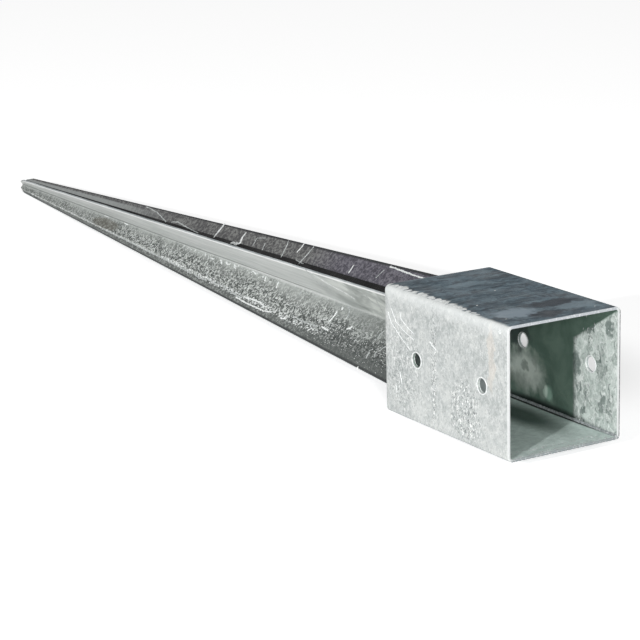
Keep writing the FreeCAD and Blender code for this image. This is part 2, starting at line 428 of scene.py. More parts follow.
teeth = zinc_clouds(coat, place, 5.5, stretch=(0.3, 1, 0.3), low=0.34, high=0.66, detail=1.0, twist=0.3)
toothed = add_node(coat, "MapRange", {
    "Value": along_socket, "From Min": 38, "From Max": 75, "To Min": 0.8, "To Max": 8.0})
lap_edge = add_node(coat, "Math", {0: teeth, 1: toothed}, operation="MULTIPLY")
past_lap = add_node(coat, "Math", {0: round_left_bend, 1: lap_edge}, operation="SUBTRACT")
on_upper = add_node(coat, "MapRange", {"Value": past_lap, "From Min": 0.0, "From Max": 4.0},
                    interpolation_type="SMOOTHSTEP")
on_right = add_node(coat, "Math", {0: left_right, 1: down_up}, operation="SUBTRACT")
on_right = add_node(coat, "MapRange", {"Value": on_right, "From Min": -1.5, "From Max": 1.0})
other = add_node(coat, "Mix", {0: 0.35, 1: wide_clouds, 2: fine_clouds})
other = add_node(coat, "ValToRGB", {0: other}, stops=((0.1, "#868D90"), (0.5, "#A2A8AA"), (0.9, "#BCC1C2")))
outer = add_node(coat, "Mix", {0: on_upper, 1: left_wall, 2: upper_wall}, data_type="RGBA")
outer = add_node(coat, "Mix", {0: on_right, 1: outer, 2: other}, data_type="RGBA")

# Inside: grey-green and cloudy, with dark strokes on the right wall where flux was wiped off. Where the key
# lamp's shadow falls, past the left wall's edge and under the upper wall's, it is painted darker and greener as
# shade.
strokes = zinc_clouds(coat, ragged_place, 8, stretch=(1, 1.4, 0.45), low=0.34, high=0.62, detail=5.0, twist=1.0)
flecks = zinc_clouds(coat, ragged_place, 3.6, stretch=(1, 1.2, 0.45), low=0.42, high=0.72, detail=4.0)
wall_tone = add_node(coat, "ValToRGB", {0: strokes}, stops=(
    (0.0, "#6B7672"), (0.35, "#9CA7A2"), (1.0, "#C3CDC8")))
wall_tone = add_node(coat, "Mix", {0: flecks, 1: wall_tone, 2: linear("#E6EBE8")}, data_type="RGBA")
# Painted shade: a darker, greener tone where the key lamp's shadow falls, past 50 mm in and under the upper
# wall's edge.
painted_shade_tone = add_node(coat, "ValToRGB", {0: wide_clouds}, stops=((0.1, "#6C8478"), (0.9, "#82998C")))
in_painted_shade = add_node(coat, "MapRange", {"Value": along_socket, "From Min": 48.5, "From Max": 51})
under_top_wall_shadow = add_node(coat, "Math", {0: along_socket, 1: 0.592, 2: down_up}, operation="MULTIPLY_ADD")
under_top_wall_shadow = add_node(coat, "MapRange", {"Value": under_top_wall_shadow, "From Min": 43.5, "From Max": 45.5})
in_painted_shade = add_node(coat, "Math", {0: in_painted_shade, 1: under_top_wall_shadow}, operation="MAXIMUM")
inner = add_node(coat, "Mix", {0: in_painted_shade, 1: wall_tone, 2: painted_shade_tone}, data_type="RGBA")
inner_patch = soft_patch(coat, ragged_place, (inner_face, 108, -22), (through_wall, 21, 14), feather=1.0)
dark_inside = soft_patch(coat, ragged_place, (inner_face, 116, 4), (through_wall, 15, 12))
for y, z, reach_y, reach_z, strength in (
    (17, -26, 3.5, 9, 0.7), (18, 2, 5, 12, 0.315), (10, 30, 3.5, 6, 0.7), (46, -3, 4, 9, 0.7),
    (42.5, -19.5, 1.1, 6, 0.7), (39, -35, 1.5, 6, 0.7), (9, -15, 1.2, 7, 0.7), (35, -22, 1, 5, 0.7),
):
    reach = (through_wall, reach_y, reach_z)
    stroke = soft_patch(coat, ragged_place, (inner_face, y, z), reach, strength=strength)
    dark_inside = add_node(coat, "Math", {0: dark_inside, 1: stroke}, operation="MAXIMUM")
inner = add_node(coat, "Mix", {0: dark_inside, 1: inner, 2: linear("#5B6965")}, data_type="RGBA")
inner = add_node(coat, "Mix", {0: inner_patch, 1: inner, 2: linear("#F2FAF2")}, data_type="RGBA")
for y, z, reach_y, reach_z, strength in (
    (107.6, -19, 3.5, 3.5, 0.55), (118, -32, 14, 7, 0.5), (95, -14, 3, 6, 0.35),
):
    reach = (through_wall, reach_y, reach_z)
    stain = soft_patch(coat, ragged_place, (inner_face, y, z), reach, feather=1.0, strength=strength)
    inner = add_node(coat, "Mix", {0: stain, 1: inner, 2: linear("#6F7F75")}, data_type="RGBA")
# Painted light: a pale round spot where the key lamp shines through the front left hole onto the right wall.
painted_light_spot = soft_patch(coat, place, (inner_face, 85.7, -32), (through_wall, 5.5, 7), strength=0.4)
inner = add_node(coat, "Mix", {0: painted_light_spot, 1: inner, 2: linear("#C9D6CC")}, data_type="RGBA")
bottom_tone = add_node(coat, "ValToRGB", {0: fine_clouds}, stops=((0.0, "#BDCBC7"), (1.0, "#D6E3DF")))
on_bottom = add_node(coat, "MapRange", {"Value": down_up, "From Min": -44.6, "From Max": -45.2})
inner = add_node(coat, "Mix", {0: on_bottom, 1: inner, 2: bottom_tone}, data_type="RGBA")
# Painted shade on the bottom: a broad dark band in the left wall's shadow and a darker strip along the right
# corner.
for middle, reach, feather, tone in (
    ((22, 84, -inner_face), (14, 46, through_wall), 1.3, "#4F5F59"),
    ((44, 90, -inner_face), (2.5, 75, 6), 0.6, "#27322F"),
):
    painted_shade_strip = soft_patch(coat, place, middle, reach, feather)
    inner = add_node(coat, "Mix", {0: painted_shade_strip, 1: inner, 2: linear(tone)}, data_type="RGBA")

skin = add_node(coat, "Mix", {0: outside, 1: inner, 2: outer}, data_type="RGBA")

# The cut edges at the mouth: pale, darker below, and darkest along the right wall's outer rim.
at_mouth = add_node(coat, "MapRange", {"Value": along_socket, "From Min": 0.9, "From Max": 0.3})
sideways = add_node(coat, "Math", {0: left_right}, operation="ABSOLUTE")
side_end = add_node(coat, "MapRange", {"Value": sideways, "From Min": 43, "From Max": 46})
under = add_node(coat, "MapRange", {"Value": down_up, "From Min": -43, "From Max": -46})
cut_tone = add_node(coat, "Mix", {0: under, 1: linear("#B4B9BD"), 2: linear("#8E9596")}, data_type="RGBA")
outer_right = add_node(coat, "MapRange", {
    "Value": left_right, "From Min": 46.5, "From Max": 47.0, "To Max": 0.9})
thin_lumps = add_node(coat, "Math", {0: specks, 1: 0.5}, operation="MULTIPLY")
for where, tone in ((side_end, "#D6D9D8"), (outer_right, "#4A504F"), (thin_lumps, "#E4E6E6")):
    cut_tone = add_node(coat, "Mix", {0: where, 1: cut_tone, 2: linear(tone)}, data_type="RGBA")
skin = add_node(coat, "Mix", {0: at_mouth, 1: skin, 2: cut_tone}, data_type="RGBA")
height = add_node(coat, "Math", {0: grain, 1: grain_height, 2: shown_specks}, operation="MULTIPLY_ADD")
roughness = add_node(coat, "MapRange", {"Value": wide_clouds, "To Min": 0.5, "To Max": 0.68})
socket_zinc = finish_coat(coat, skin, height, roughness)
finish_piece(socket, socket_zinc, "socket_sheet", "socket")


# Zinc drops. Where the molten zinc gathered it froze to bright lumps, rings round the holes, runs across the
# faces and a toothed lap over the socket's left bend. Each is low and smooth, and is modelled as real metal.
def lay_drops(name, places, roundness=2):
    """One mesh of overlapping drops, each a round drop scaled, turned and moved by its matrix."""
    bpy.ops.object.select_all(action="DESELECT")
    bpy.ops.mesh.primitive_ico_sphere_add(subdivisions=roundness, radius=1.0)
    drop = bpy.context.object
    for place_and_size in places:
        copy = drop.copy()
        copy.data = drop.data.copy()
        copy.data.transform(place_and_size)
        bpy.context.scene.collection.objects.link(copy)
        copy.select_set(True)
    drop.select_set(False)
    bpy.data.objects.remove(drop)
    bpy.context.view_layer.objects.active = copy
    bpy.ops.object.join()
    laid = bpy.context.object
    laid.name = name
    return laid


def one_drop(spot, turn, half_sizes):
    """Place, turn and half sizes of one drop, as a matrix."""
    return Matrix.Translation(spot) @ turn @ Matrix.Diagonal((*half_sizes, 1))


def melt_together(piece, voxel):
    """Join overlapping drops to one smooth skin."""
    apply_modifier(piece, "REMESH", mode="VOXEL", voxel_size=voxel)
    apply_modifier(piece, "SMOOTH", iterations=2)


chance = random.Random(7)
drop_spacing = 0.35


def run_of_drops(points, out, width, height, uneven=0.25):
    """Drops along a line of points on a face with outward direction out, a share of their width apart."""
    drops = []
    for before, after in zip(points, points[1:]):
        step = after - before
        count = max(1, round(step.length / (drop_spacing * width)))
        turn = Matrix((step.normalized(), out.cross(step.normalized()), out)).transposed().to_4x4()
        for k in range(count + 1):
            middle = before + step * k / count
            middle = middle + turn.to_3x3() @ Vector((0, chance.uniform(-1, 1), 0)) * width * uneven
            size = chance.uniform(1 - uneven, 1 + uneven)
            drops.append(one_drop(middle, turn, (0.5 * width * size, 0.5 * width * size, height * size)))
    return drops


def ring_round_hole(distance, face, facing):
    """Drops round the edge of a hole on one face of a wall."""
    radius = hole_radius + 0.35 * lip_width
    turns = [2 * math.pi * k / lip_drops for k in range(lip_drops + 1)]
    ring = [Vector((face, distance + radius * math.cos(turn), radius * math.sin(turn))) for turn in turns]
    return run_of_drops(ring, Vector((facing, 0, 0)), lip_width, lip_height, uneven=0.08)


def plain_zinc(name, size, dark, light, smooth, rough, detail=3.0, depth=0.3):
    """Coat of one cloudy tone from dark to light, which is also a little rougher where it is lighter."""
    coat, place = start_coat(name)
    clouds = zinc_clouds(coat, place, size, detail=detail)
    tone = add_node(coat, "ValToRGB", {0: clouds}, stops=((0.0, dark), (1.0, light)))
    roughness = add_node(coat, "MapRange", {"Value": clouds, "To Min": smooth, "To Max": rough})
    return finish_coat(coat, tone, clouds, roughness, depth)


# Thick lumps of zinc froze nearly white and a little shiny, and thin ones grey and dull.
bright_zinc = plain_zinc("bright_frozen_zinc", 1.4, "#D2D6D6", "#F2F4F3", 0.35, 0.5, detail=1.0, depth=0.1)
dull_zinc = plain_zinc("dull_frozen_zinc", 2.5, "#979C9C", "#CED2D1", 0.45, 0.6, depth=0.1)
lip_width = 1.1 * MM
lip_height = 0.4 * MM
lip_drops = 26
melted_grain = 0.3 * MM

# Rings of zinc on both faces round every hole, one mesh for the inside and one for the outside.
for name, sides in (
    ("zinc_rings_inside", ((-socket_half + socket_wall, 1), (socket_half - socket_wall, -1))),
    ("zinc_rings_outside", ((-socket_half, -1), (socket_half, 1))),
):
    drops = []
    for distance in hole_distances:
        for face, facing in sides:
            drops += ring_round_hole(distance, face, facing)
    rings = lay_drops(name, drops)
    melt_together(rings, melted_grain)
    finish_piece(rings, bright_zinc, "socket_sheet")

# Teeth of the lap over the left bend, slanted and flat on the upper wall, and thin arcs on the left wall.
lap_start = 40 * MM
lap_end = 143 * MM
lap_full_after = 50 * MM
drops = []
y = lap_start
while y < lap_end:
    strong = min(1.0, 0.3 + (y - lap_start) / lap_full_after)
    half_length = chance.uniform(1.8, 3.7) * MM * strong
    slant = math.radians(chance.uniform(20, 40))
    middle = Vector((-socket_half + socket_bend - 1.2 * MM + half_length * math.cos(slant), y, socket_half))
    drops.append(one_drop(middle, Matrix.Rotation(slant, 4, "Z"), (
        half_length, chance.uniform(1.2, 2.4) * MM, 0.26 * MM * strong)))
    y += chance.uniform(4.0, 8.0) * MM
teeth_of_lap = lay_drops("zinc_teeth_on_bend", drops)
finish_piece(teeth_of_lap, bright_zinc, "socket_sheet")

leftward = Vector((-1, 0, 0))
wall_x = -socket_half
drops = []
for line, width in (
    (((146.5, 28), (142.7, 21), (131, 13), (118, 5.7)), 0.6),
    (((142.4, 31.6), (136, 22.6), (124.5, 17.6), (113, 14.2)), 0.5),
    (((130.6, 31), (129.5, 26), (120.5, 21.4), (113, 18.6)), 0.6),
    (((92.6, 17.2), (88.9, 14.4), (85.2, 13.0)), 1.1),
    (((137.5, -24.7), (136.3, -29.7)), 0.9),
    (((131.9, -13.7), (129.5, -22.1)), 0.9),
    (((9.9, 42.3), (8.6, 43.6), (7.3, 42.3), (8.6, 41.0), (9.9, 42.3)), 0.5),
):
    drops += run_of_drops([Vector((wall_x, y * MM, z * MM)) for y, z in line], leftward, width * MM, 0.22 * MM)
arcs = lay_drops("zinc_arcs_on_socket", drops)
finish_piece(arcs, bright_zinc, "socket_sheet")


def clear_of_holes(spot):
    """Whether a spot on a side wall is clear of both of its holes."""
    return all(math.hypot(spot.y - distance, spot.z) > hole_radius + 2 * MM for distance in hole_distances)


def chance_drop(spot, turn, length, width):
    """One low drop, its half length and half width drawn between two bounds in millimetres."""
    return one_drop(spot, turn, [chance.uniform(*bounds) * MM for bounds in (length, width, (0.12, 0.25))])


# Drops on the socket: scattered over the left wall, four on the upper wall, and rows inside near the mouth.
drops = []
for count, middle_y, reach_y, middle_z, reach_z in (
    (120, 50, 15, -25, 19), (46, 88.5, 2.6, 0, 44), (60, 128, 16, -12, 28), (40, 74, 8, 12, 20),
):
    for k in range(count):
        round_angle = chance.uniform(0, 2 * math.pi)
        how_far = math.sqrt(chance.random())
        spot = Vector((wall_x, (middle_y + reach_y * how_far * math.cos(round_angle)) * MM,
                       (middle_z + reach_z * how_far * math.sin(round_angle)) * MM))
        turn = Matrix.Rotation(chance.uniform(0, math.pi), 4, "X") @ Matrix.Rotation(-math.pi / 2, 4, "Y")
        if clear_of_holes(spot):
            drops.append(chance_drop(spot, turn, (0.4, 1.3), (0.3, 0.6)))
for x, y in ((-35.8, 18.0), (33.8, 10.8), (-30, 60), (5, 88)):
    spot = Vector((x * MM, y * MM, socket_half))
    drops.append(one_drop(spot, Matrix.Identity(4), (0.8 * MM, 0.6 * MM, 0.25 * MM)))
inner_x = socket_half - socket_wall
for count, middle_y, reach_y, middle_z, reach_z in (
    (60, 20, 18, -22, 20), (40, 22, 18, 18, 16), (14, 43, 6, -44.5, 1),
):
    for k in range(count):
        spot = Vector((inner_x, (middle_y + reach_y * chance.uniform(-1, 1)) * MM,
                       (middle_z + reach_z * chance.uniform(-1, 1)) * MM))
        turn = Matrix.Rotation(chance.uniform(-0.6, 0.6), 4, "X") @ Matrix.Rotation(-math.pi / 2, 4, "Y")
        if clear_of_holes(spot):
            drops.append(chance_drop(spot, turn, (0.5, 1.6), (0.25, 0.5)))
for count, nearest, farthest in ((70, 1.0, 3.5), (60, 8.5, 12.5)):
    for k in range(count):
        spot = Vector((chance.uniform(-38, 42) * MM, chance.uniform(nearest, farthest) * MM, -inner_x))
        turn = Matrix.Rotation(chance.uniform(-0.5, 0.5), 4, "Z")
        drops.append(chance_drop(spot, turn, (0.4, 1.5), (0.2, 0.45)))
socket_drops = lay_drops("zinc_drops_on_socket", drops)
finish_piece(socket_drops, dull_zinc, "socket_sheet")


# Spike sheets. Two tapered 2 mm blanks are each folded to a right angle along the middle and stand back to
# back, so the spike has an X section. The left one turns its hollow side to the camera.
spike_sheet = 2.0 * MM
fold_radius = 4.0 * MM
spike_root = 147 * MM
spike_shoulder = 888 * MM
spike_end = 900 * MM
root_reach = 49 * MM
shoulder_reach = 8.6 * MM
nose_reach = 5 * MM
DIAGONAL = math.sqrt(2)
fold_apex = fold_radius * (DIAGONAL - 1)


def on_back_face(reach, side, y):
    """Point on the convex face of the left sheet, at a reach from the axis on the upper or lower fin."""
    return Vector(((fold_apex - DIAGONAL * reach) / 2, y, side * (fold_apex + DIAGONAL * reach) / 2))


def fold_sheet(name):
    """Left sheet: outline drawn, folded, drawn out to the tip and narrowed, then given its thickness."""
    sheet = start_profile(name, (
        on_back_face(root_reach, 1, spike_root),
        Vector((fold_apex, spike_root, 0)),
        on_back_face(root_reach, -1, spike_root),
    ))
    select_in_mesh("vertices", lambda v: abs(v.co.z) < MM)
    bpy.ops.mesh.bevel(offset=fold_radius, segments=bend_steps, affect="VERTICES")
    for start, end, reach_before, reach_after in (
        (spike_root, spike_shoulder, root_reach, shoulder_reach),
        (spike_shoulder, spike_end, shoulder_reach, nose_reach),
    ):
        select_in_mesh("vertices", lambda v: v.co.y > start - MM / 2)
        bpy.ops.mesh.select_mode(type="EDGE")
        bpy.ops.mesh.extrude_edges_move(TRANSFORM_OT_translate={"value": (0, end - start, 0)})
        for side in (1, -1):
            corner = on_back_face(reach_before, side, end)
            select_in_mesh("vertices", lambda v: (v.co - corner).length < MM / 10)
            bpy.ops.transform.translate(value=on_back_face(reach_after, side, end) - corner)
    select_in_mesh("edges", lambda e: abs(edge_vector(e).z) > 1.2 * MM and abs(edge_vector(e).y) < MM / 10)
    bpy.ops.mesh.subdivide(number_cuts=26)
    for least, cuts in ((100 * MM, 19), (20 * MM, 17), (10 * MM, 4)):
        select_in_mesh("edges", lambda e: abs(edge_vector(e).y) > least)
        bpy.ops.mesh.subdivide(number_cuts=cuts)
    bpy.ops.mesh.select_all(action="SELECT")
    bpy.ops.mesh.normals_make_consistent(inside=False)
    bpy.ops.object.mode_set(mode="OBJECT")
    faces_back = sum(p.normal.x for p in sheet.data.polygons) > 0
    apply_modifier(sheet, "SOLIDIFY", thickness=spike_sheet, offset=-1 if faces_back else 1,
                   use_even_offset=True)
    round_cut_edges(sheet)
    return sheet


# The left sheet's zinc: pale and smooth on the upper left fin, with a painted highlight along its outer edge,
# and on the lower left one pale along the groove, pebbly in the middle, and dark towards the edge and the
# socket.
left_sheet = fold_sheet("spike_sheet_left_fins")
back_tones = ((0.0, "#878E90"), (0.5, "#A2A8AA"), (1.0, "#BCC1C2"))
fin_taper = {
    "From Min": spike_root / MM, "From Max": spike_shoulder / MM,
    "To Min": root_reach / MM, "To Max": shoulder_reach / MM,
}
coat, place = start_coat("hot_dip_zinc_on_left_fins")
along_spike = add_node(coat, "SeparateXYZ", {0: place}).outputs["Y"]
up_left = add_node(coat, "VectorMath", {0: place, 1: (-1 / DIAGONAL, 0, 1 / DIAGONAL)}, operation="DOT_PRODUCT")
down_left = add_node(coat, "VectorMath", {
    0: place, 1: (-1 / DIAGONAL, 0, -1 / DIAGONAL)}, operation="DOT_PRODUCT")
nearer = add_node(coat, "Math", {0: up_left, 1: down_left}, operation="MINIMUM")
hollow_side = add_node(coat, "MapRange", {"Value": nearer, "From Min": -0.3, "From Max": 0.5})
past_groove = add_node(coat, "Math", {0: down_left, 1: up_left}, operation="SUBTRACT")
on_lower = add_node(coat, "MapRange", {"Value": past_groove, "From Min": -1.5, "From Max": 1.5})
reach_here = add_node(coat, "MapRange", {"Value": along_spike, **fin_taper}, clamp=False)
farther = add_node(coat, "Math", {0: up_left, 1: down_left}, operation="MAXIMUM")
share = add_node(coat, "Math", {0: farther, 1: reach_here}, operation="DIVIDE")
grain = zinc_clouds(coat, place, 1.6, detail=2.0, low=0.3, high=0.7)
clouds = zinc_clouds(coat, place, 16, stretch=(1, 0.5, 1))
long_streaks = zinc_clouds(coat, place, 3.0, stretch=(1, 0.05, 1), low=0.3, high=0.7)
pebbles = zinc_clouds(coat, place, 2.1, low=0.4, high=0.6, detail=1.5, twist=0.8)

smooth_tone = add_node(coat, "ValToRGB", {0: long_streaks}, stops=(
    (0.0, "#C3C8C5"), (0.5, "#D2D5D3"), (1.0, "#DEE0DE")))
near_socket = add_node(coat, "MapRange", {"Value": along_spike, "From Min": 330, "From Max": 230})
root_tone = add_node(coat, "ValToRGB", {0: clouds}, stops=(
    (0.0, "#979D99"), (0.5, "#BCC1BD"), (1.0, "#DCE0DB")))
smooth_tone = add_node(coat, "Mix", {0: near_socket, 1: smooth_tone, 2: root_tone}, data_type="RGBA")
# Painted highlight: the upper left fin's outer edge, lit by the key lamp, is painted near white.
painted_edge_highlight = add_node(coat, "MapRange", {"Value": share, "From Min": 0.97, "From Max": 0.99})
smooth_tone = add_node(coat, "Mix", {0: painted_edge_highlight, 1: smooth_tone, 2: linear("#F0F2F1")}, data_type="RGBA")

wander = add_node(coat, "Math", {0: clouds, 1: 0.5}, operation="SUBTRACT")
wandering_share = add_node(coat, "Math", {0: wander, 1: 0.22, 2: share}, operation="MULTIPLY_ADD")
lower_tone = add_node(coat, "ValToRGB", {0: wandering_share}, stops=(
    (0.0, "#AFB3B0"), (0.3, "#9EA29F"), (0.5, "#858986"), (0.72, "#7D817E"), (0.85, "#7A7E7C")))
pebble_tone = add_node(coat, "ValToRGB", {0: pebbles}, stops=(
    (0.0, "#3F4341"), (0.5, "#747876"), (1.0, "#D2D6D3")))
pebbly = add_node(coat, "MapRange", {
    "Value": wandering_share, "From Min": 0.05, "From Max": 0.42, "To Min": 0.15, "To Max": 0.85})
below_drips = add_node(coat, "MapRange", {
    "Value": share, "From Min": 0.78, "From Max": 0.86, "To Min": 1.0, "To Max": 0.8})
pebbly = add_node(coat, "Math", {0: pebbly, 1: below_drips}, operation="MULTIPLY")
not_far = add_node(coat, "MapRange", {
    "Value": along_spike, "From Min": 760, "From Max": 600, "To Min": 0.6, "To Max": 1.0})
pebbly = add_node(coat, "Math", {0: pebbly, 1: not_far}, operation="MULTIPLY")
lower_tone = add_node(coat, "Mix", {0: pebbly, 1: lower_tone, 2: pebble_tone}, data_type="RGBA")
outer_half = add_node(coat, "MapRange", {"Value": wandering_share, "From Min": 0.42, "From Max": 0.62})
root_shade = add_node(coat, "MapRange", {
    "Value": along_spike, "From Min": 330, "From Max": 240, "To Max": 0.35})
near_root = add_node(coat, "MapRange", {"Value": along_spike, "From Min": 345, "From Max": 265, "To Max": 0.58})
dark_root = add_node(coat, "Math", {0: outer_half, 1: near_root}, operation="MULTIPLY")
on_drip_line = add_node(coat, "ValToRGB", {0: share}, stops=(
    (0.70, "#000000"), (0.755, "#FFFFFF"), (0.785, "#FFFFFF"), (0.81, "#000000")))
far_along = add_node(coat, "MapRange", {"Value": along_spike, "From Min": 470, "From Max": 600, "To Max": 0.75})
on_drip_line = add_node(coat, "Math", {0: on_drip_line, 1: far_along}, operation="MULTIPLY")
past_drip_line = add_node(coat, "MapRange", {"Value": share, "From Min": 0.8, "From Max": 0.84})
past_drip_line = add_node(coat, "Math", {0: past_drip_line, 1: 0.55}, operation="MULTIPLY")
brown = soft_patch(coat, place, (-6.5, 698, -6.5), (7, 26, 5), strength=0.6)
dark_edge = add_node(coat, "MapRange", {"Value": share, "From Min": 0.945, "From Max": 0.975})
for where, tone in (
    (root_shade, "#707573"), (dark_root, "#3B3F3E"), (past_drip_line, "#5C605E"),
    (on_drip_line, "#C2C6C3"), (brown, "#625F55"), (dark_edge, "#3A3D3D"),
):
    lower_tone = add_node(coat, "Mix", {0: where, 1: lower_tone, 2: linear(tone)}, data_type="RGBA")

hollow_tone = add_node(coat, "Mix", {0: on_lower, 1: smooth_tone, 2: lower_tone}, data_type="RGBA")
line_place = add_node(coat, "MapRange", {
    "Value": along_spike, "From Min": 310, "From Max": 560, "To Min": -4.0, "To Max": -0.5})
off_line = add_node(coat, "Math", {0: past_groove, 1: line_place}, operation="SUBTRACT")
off_line = add_node(coat, "Math", {0: off_line}, operation="ABSOLUTE")
groove_line = add_node(coat, "MapRange", {"Value": off_line, "From Min": 1.1, "From Max": 0.4, "To Max": 0.75})
line_fades = add_node(coat, "MapRange", {"Value": along_spike, "From Min": 300, "From Max": 350})
groove_line = add_node(coat, "Math", {0: groove_line, 1: line_fades}, operation="MULTIPLY")
hollow_tone = add_node(coat, "Mix", {0: groove_line, 1: hollow_tone, 2: linear("#5A605D")}, data_type="RGBA")
back_tone = add_node(coat, "ValToRGB", {0: clouds}, stops=back_tones)
skin = add_node(coat, "Mix", {0: hollow_side, 1: back_tone, 2: hollow_tone}, data_type="RGBA")
pebbly = add_node(coat, "Math", {0: pebbly, 1: on_lower}, operation="MULTIPLY")
pebble_height = add_node(coat, "Math", {0: pebbles, 1: pebbly}, operation="MULTIPLY")
height = add_node(coat, "Math", {0: grain, 1: grain_height, 2: pebble_height}, operation="MULTIPLY_ADD")
roughness = add_node(coat, "MapRange", {"Value": clouds, "To Min": 0.48, "To Max": 0.66})
left_zinc = finish_coat(coat, skin, height, roughness)
finish_piece(left_sheet, left_zinc, "spike_sheet", "spike_sheet_left")

# The right sheet's zinc: dark and slightly violet on the upper fin's left face, lighter towards the tip, and
# painted black near the groove as the upper left fin's shadow.
right_sheet = fold_sheet("spike_sheet_right_fins")
right_sheet.data.transform(Matrix.Rotation(math.pi, 4, "Y"))
coat, place = start_coat("hot_dip_zinc_on_right_fins")
along_spike = add_node(coat, "SeparateXYZ", {0: place}).outputs["Y"]
up_right = add_node(coat, "VectorMath", {
    0: place, 1: (1 / DIAGONAL, 0, 1 / DIAGONAL)}, operation="DOT_PRODUCT")
off_face = add_node(coat, "VectorMath", {
    0: place, 1: (-1 / DIAGONAL, 0, 1 / DIAGONAL)}, operation="DOT_PRODUCT")
reach_here = add_node(coat, "MapRange", {"Value": along_spike, **fin_taper}, clamp=False)
share = add_node(coat, "Math", {0: up_right, 1: reach_here}, operation="DIVIDE")
grain = zinc_clouds(coat, place, 1.6, detail=2.0, low=0.3, high=0.7)
clouds = zinc_clouds(coat, place, 14, stretch=(1, 0.5, 1))
mottle = zinc_clouds(coat, place, 2.6, low=0.4, high=0.6, detail=1.5)
mixed = add_node(coat, "Mix", {0: 0.65, 1: clouds, 2: mottle})
dark_tone = add_node(coat, "ValToRGB", {0: mixed}, stops=((0.1, "#464647"), (0.5, "#5F5F5F"), (0.9, "#828381")))
violet_tone = add_node(coat, "ValToRGB", {0: mixed}, stops=(
    (0.1, "#45434A"), (0.5, "#5B5962"), (0.9, "#7A787F")))
near_socket = add_node(coat, "MapRange", {"Value": along_spike, "From Min": 370, "From Max": 320})
dark_tone = add_node(coat, "Mix", {0: near_socket, 1: dark_tone, 2: violet_tone}, data_type="RGBA")
far_band = add_node(coat, "MapRange", {"Value": along_spike, "From Min": 600, "From Max": 710})
in_band = add_node(coat, "MapRange", {"Value": share, "From Min": 0.84, "From Max": 0.76})
far_band = add_node(coat, "Math", {0: far_band, 1: in_band}, operation="MULTIPLY")
far_band = add_node(coat, "Math", {0: far_band, 1: 0.75}, operation="MULTIPLY")
dark_edge = add_node(coat, "MapRange", {"Value": share, "From Min": 0.93, "From Max": 0.965})
# Painted shadow: the upper left fin's shadow on this face, black up to just over half of the fin's reach.
painted_fin_shadow = add_node(coat, "MapRange", {"Value": share, "From Min": 0.55, "From Max": 0.535})
for where, tone in ((far_band, "#A3A7A6"), (dark_edge, "#303133"), (painted_fin_shadow, "#040405")):
    dark_tone = add_node(coat, "Mix", {0: where, 1: dark_tone, 2: linear(tone)}, data_type="RGBA")
on_dark_face = add_node(coat, "MapRange", {"Value": off_face, "From Min": 0.2, "From Max": 0.9})
on_upper = add_node(coat, "MapRange", {"Value": up_right, "From Min": -1.0, "From Max": 1.0})
on_dark_face = add_node(coat, "Math", {0: on_dark_face, 1: on_upper}, operation="MULTIPLY")
back_tone = add_node(coat, "ValToRGB", {0: clouds}, stops=back_tones)
skin = add_node(coat, "Mix", {0: on_dark_face, 1: back_tone, 2: dark_tone}, data_type="RGBA")
roughness = add_node(coat, "MapRange", {"Value": clouds, "To Min": 0.5, "To Max": 0.68})
right_zinc = finish_coat(coat, skin, grain, roughness, depth=0.2)
finish_piece(right_sheet, right_zinc, "spike_sheet", "spike_sheet_right")

# Runs of zinc across the fins. The zinc that drained off froze in thin ridges across the fins, in lumpy lines
# near the lower left fin's edge and in beads under the groove. On the upper right fin's dark face the ridges
# are coloured pale as painted glints. Each line gives its points, by their distance from the mouth and from the
# axis in millimetres, and its width.
# Painted glints: pale raised ridges across the upper right fin's dark face.
upper_fin_glint_lines = (
    (((514, 14.6), (514, 29.5)), 2.0),
    (((484, 14.9), (477, 15.5), (471, 17.4), (474, 22.3), (474, 27.8)), 2.0),
    (((482, 15.5), (474, 15.8)), 2.6),
    (((451, 18.8), (453, 26.8), (441, 29.5)), 0.8),
    (((434, 18.1), (437, 24.9)), 0.9),
    (((402, 17.8), (406, 29.7), (408, 33.6)), 1.2),
    (((386, 26.7), (385, 35.4)), 1.5),
    (((380, 19.8), (367, 18.5)), 1.0),
    (((373, 18.2), (371, 27.1), (370, 35.7)), 1.2),
    (((303, 24.3), (304, 32.1)), 1.3),
    (((267, 27.8), (264, 36.2)), 0.9),
    (((652, 20.2), (640, 19.6), (627, 18.4), (603, 12.8)), 1.1),
    (((594, 14.6), (584, 16.5), (562, 14.3), (542, 13.1)), 1.1),
    (((260, 40.6), (243, 40.4), (225, 39.9), (212, 40.4), (200, 41.5)), 1.5),
)
